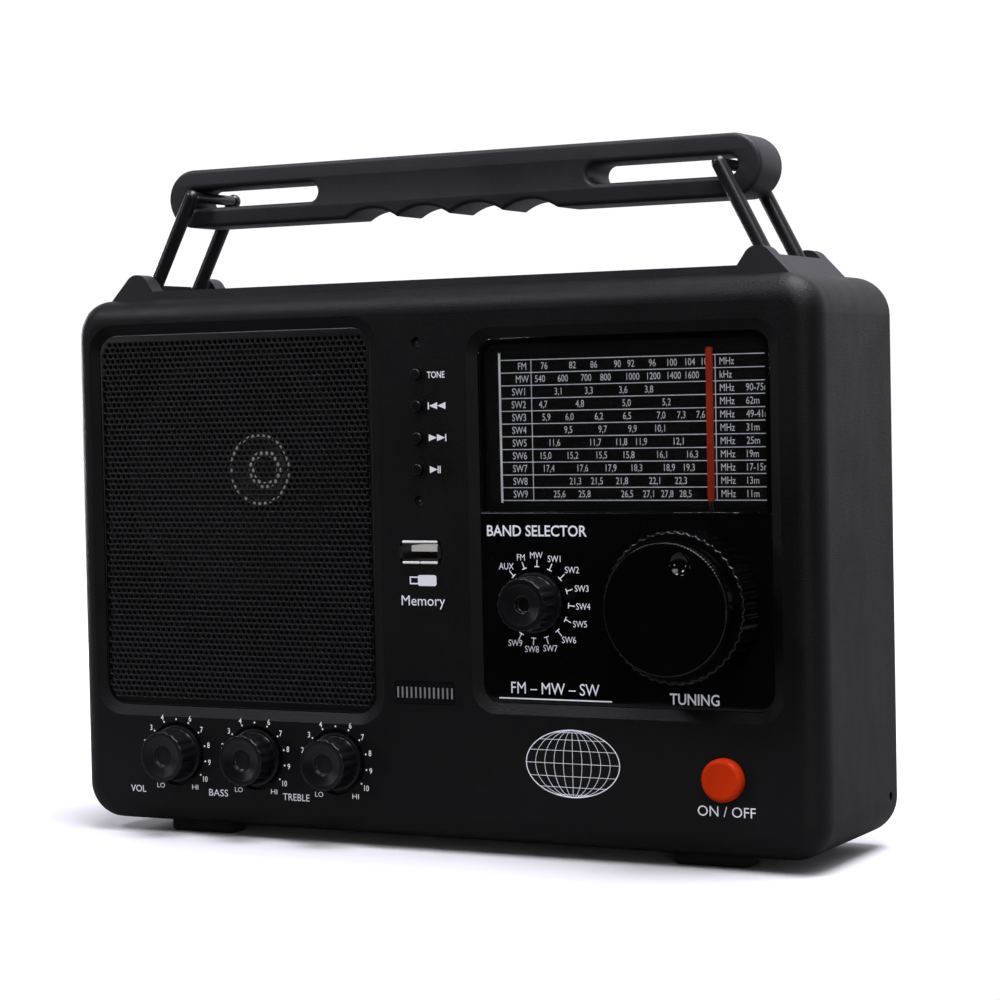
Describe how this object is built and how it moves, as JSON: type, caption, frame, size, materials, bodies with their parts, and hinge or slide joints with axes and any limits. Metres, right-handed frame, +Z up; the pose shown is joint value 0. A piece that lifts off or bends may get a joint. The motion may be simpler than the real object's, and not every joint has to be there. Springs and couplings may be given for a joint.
{
  "type": "shortwave receiver",
  "caption": "Portable shortwave receiver: box cabinet with perforated speaker grille, glazed tuning dial, rotary controls, telescopic aerial and folding carrying handle.",
  "frame": {"origin": "middle of the overall box, on the surface that the feet stand on", "axes": "+X to the right seen from the front, +Y towards the rear, +Z up"},
  "size_m": [0.264, 0.0824, 0.2192],
  "materials": {
    "cabinet_plastic": "fine-grained black moulding",
    "handle_plastic": "satin black moulding",
    "rod_steel": "black lacquered",
    "grille_steel": "satin black perforated sheet",
    "window_plastic": "clear glossy",
    "panel_plastic": "gloss black",
    "scale_print": "black with pale lines",
    "pointer_red": "orange-red",
    "knob_plastic": "semi-gloss black",
    "red_plastic": "orange-red",
    "steel": "plated",
    "chrome": "polished",
    "tongue_plastic": "white",
    "badge_metal": "dark with bright edge",
    "rubber": "matt",
    "board": "green laminate",
    "component": "moulded",
    "iron": "laminated",
    "ferrite": "sintered dark grey",
    "copper": "lacquered wire",
    "paper": "pressed paper pulp",
    "cap_foil": "bright"
  },
  "bodies": {
    "root": {"front_cabinet": "cabinet_plastic", "rear_cabinet": "cabinet_plastic", "handle_base": "handle_plastic", "speaker_grille": "grille_steel", "speaker_frame": "grille_steel", "speaker_cone": "paper", "speaker_dust_cap": "cap_foil", "speaker_magnet": "ferrite", "dial_window": "window_plastic", "dial_scale": "scale_print", "pointer_rail": "steel", "control_panel": "panel_plastic", "tuning_capacitor": "component", "band_switch": "component", "volume_potentiometer": "steel", "bass_potentiometer": "steel", "treble_potentiometer": "steel", "player_board": "board", "board_screws": "steel", "tact_switches": "component", "usb_shell": "chrome", "usb_tongue": "tongue_plastic", "power_switch": "component", "badge_plate": "badge_metal", "main_board": "board", "transformer": "iron", "ferrite_rod": "ferrite", "ferrite_coils": "copper", "ac_inlet": "component", "battery_contacts": "steel", "feet": "rubber", "cabinet_screws": "steel"},
    "handle_grip": {"handle_grip": "handle_plastic"},
    "left_bail": {"left_bail": "rod_steel"},
    "right_bail": {"right_bail": "rod_steel"},
    "dial_pointer": {"dial_pointer": "pointer_red"},
    "tuning_knob": {"tuning_knob": "knob_plastic", "tuning_knob_cap": "knob_plastic", "tuning_shaft": "steel"},
    "tuning_drum": {"tuning_drum": "component"},
    "band_selector": {"band_selector_knob": "knob_plastic", "band_selector_shaft": "steel"},
    "volume_knob": {"volume_knob": "knob_plastic", "volume_shaft": "steel"},
    "bass_knob": {"bass_knob": "knob_plastic", "bass_shaft": "steel"},
    "treble_knob": {"treble_knob": "knob_plastic", "treble_shaft": "steel"},
    "eq_button": {"eq_button": "knob_plastic"},
    "previous_button": {"previous_button": "knob_plastic"},
    "next_button": {"next_button": "knob_plastic"},
    "play_button": {"play_button": "knob_plastic"},
    "power_button": {"power_button": "red_plastic"},
    "antenna_swivel": {"antenna_base": "chrome"},
    "antenna_mast": {"antenna_mast": "chrome"},
    "antenna_section_2": {"antenna_section_2": "chrome"},
    "antenna_section_3": {"antenna_section_3": "chrome"},
    "antenna_section_4": {"antenna_section_4": "chrome"},
    "voltage_selector": {"voltage_selector": "red_plastic"},
    "battery_door": {"battery_door": "cabinet_plastic"}
  },
  "joints": [
    {"name": "handle_drop", "type": "slide", "parent": "root", "child": "handle_grip", "axis": [0, 0, -1], "range_m": [0, 0.01967]},
    {"name": "left_bail_fold", "type": "hinge", "parent": "root", "child": "left_bail", "pos_m": [-0.1107, 0.0064, 0.1796], "axis": [0, 1, 0], "range_deg": [-0.5, 47.8]},
    {"name": "right_bail_fold", "type": "hinge", "parent": "root", "child": "right_bail", "pos_m": [0.1107, 0.0064, 0.1796], "axis": [0, 1, 0], "range_deg": [-47.8, 0.5]},
    {"name": "tuning_turn", "type": "hinge", "parent": "root", "child": "tuning_knob", "pos_m": [0.09, -0.0248, 0.0788], "axis": [0, 1, 0], "range_deg": [-1069.52, 22.92]},
    {"name": "pointer_travel", "type": "slide", "parent": "root", "child": "dial_pointer", "axis": [1, 0, 0], "range_m": [-0.0565, 0.0017]},
    {"name": "drum_turn", "type": "hinge", "parent": "root", "child": "tuning_drum", "pos_m": [0.068, -0.0128, 0.0788], "axis": [0, 1, 0], "range_deg": [-239.67, 7.09]},
    {"name": "band_select", "type": "hinge", "parent": "root", "child": "band_selector", "pos_m": [0.0393, -0.0248, 0.0788], "axis": [0, 1, 0], "range_deg": [-22.92, 229.2]},
    {"name": "volume_turn", "type": "hinge", "parent": "root", "child": "volume_knob", "pos_m": [-0.09335, -0.0248, 0.0271], "axis": [0, 1, 0], "range_deg": [-125.7, 125.7]},
    {"name": "bass_turn", "type": "hinge", "parent": "root", "child": "bass_knob", "pos_m": [-0.06285, -0.0248, 0.0271], "axis": [0, 1, 0], "range_deg": [-125.7, 125.7]},
    {"name": "treble_turn", "type": "hinge", "parent": "root", "child": "treble_knob", "pos_m": [-0.03235, -0.0248, 0.0271], "axis": [0, 1, 0], "range_deg": [-125.7, 125.7]},
    {"name": "eq_press", "type": "slide", "parent": "root", "child": "eq_button", "axis": [0, 1, 0], "range_m": [0, 0.0005], "stiffness_N_per_m": 400, "springref_m": -0.0005},
    {"name": "previous_press", "type": "slide", "parent": "root", "child": "previous_button", "axis": [0, 1, 0], "range_m": [0, 0.0005], "stiffness_N_per_m": 400, "springref_m": -0.0005},
    {"name": "next_press", "type": "slide", "parent": "root", "child": "next_button", "axis": [0, 1, 0], "range_m": [0, 0.0005], "stiffness_N_per_m": 400, "springref_m": -0.0005},
    {"name": "play_press", "type": "slide", "parent": "root", "child": "play_button", "axis": [0, 1, 0], "range_m": [0, 0.0005], "stiffness_N_per_m": 400, "springref_m": -0.0005},
    {"name": "power_press", "type": "slide", "parent": "root", "child": "power_button", "axis": [0, 1, 0], "range_m": [0, 0.0025], "stiffness_N_per_m": 400, "springref_m": -0.001},
    {"name": "antenna_swivel", "type": "hinge", "parent": "root", "child": "antenna_swivel", "pos_m": [0.097, 0.0367, 0.1674], "axis": [0, 0, -1], "range_deg": [0, 90]},
    {"name": "antenna_tilt", "type": "hinge", "parent": "antenna_swivel", "child": "antenna_mast", "pos_m": [0.097, 0.0367, 0.1717], "axis": [0, 1, 0], "range_deg": [0, 90]},
    {"name": "antenna_extend", "type": "slide", "parent": "antenna_mast", "child": "antenna_section_2", "axis": [-1, 0, 0], "range_m": [0, 0.13]},
    {"name": "antenna_extend_3", "type": "slide", "parent": "antenna_section_2", "child": "antenna_section_3", "axis": [-1, 0, 0], "range_m": [0, 0.13]},
    {"name": "antenna_extend_4", "type": "slide", "parent": "antenna_section_3", "child": "antenna_section_4", "axis": [-1, 0, 0], "range_m": [0, 0.13]},
    {"name": "voltage_select", "type": "slide", "parent": "root", "child": "voltage_selector", "axis": [1, 0, 0], "range_m": [0, 0.004]},
    {"name": "battery_door_open", "type": "hinge", "parent": "root", "child": "battery_door", "pos_m": [0, 0.0412, 0.0098], "axis": [-1, 0, 0], "range_deg": [0, 80]}
  ],
  "couplings": [
    {"joint": "left_bail_fold", "follows": "handle_drop", "rad_per_m": 41.972},
    {"joint": "right_bail_fold", "follows": "handle_drop", "rad_per_m": -41.972},
    {"joint": "pointer_travel", "follows": "tuning_turn", "m_per_rad": 0.003},
    {"joint": "drum_turn", "follows": "tuning_turn", "ratio": 0.22222},
    {"joint": "antenna_extend_3", "follows": "antenna_extend", "ratio": 1},
    {"joint": "antenna_extend_4", "follows": "antenna_extend", "ratio": 1}
  ]
}
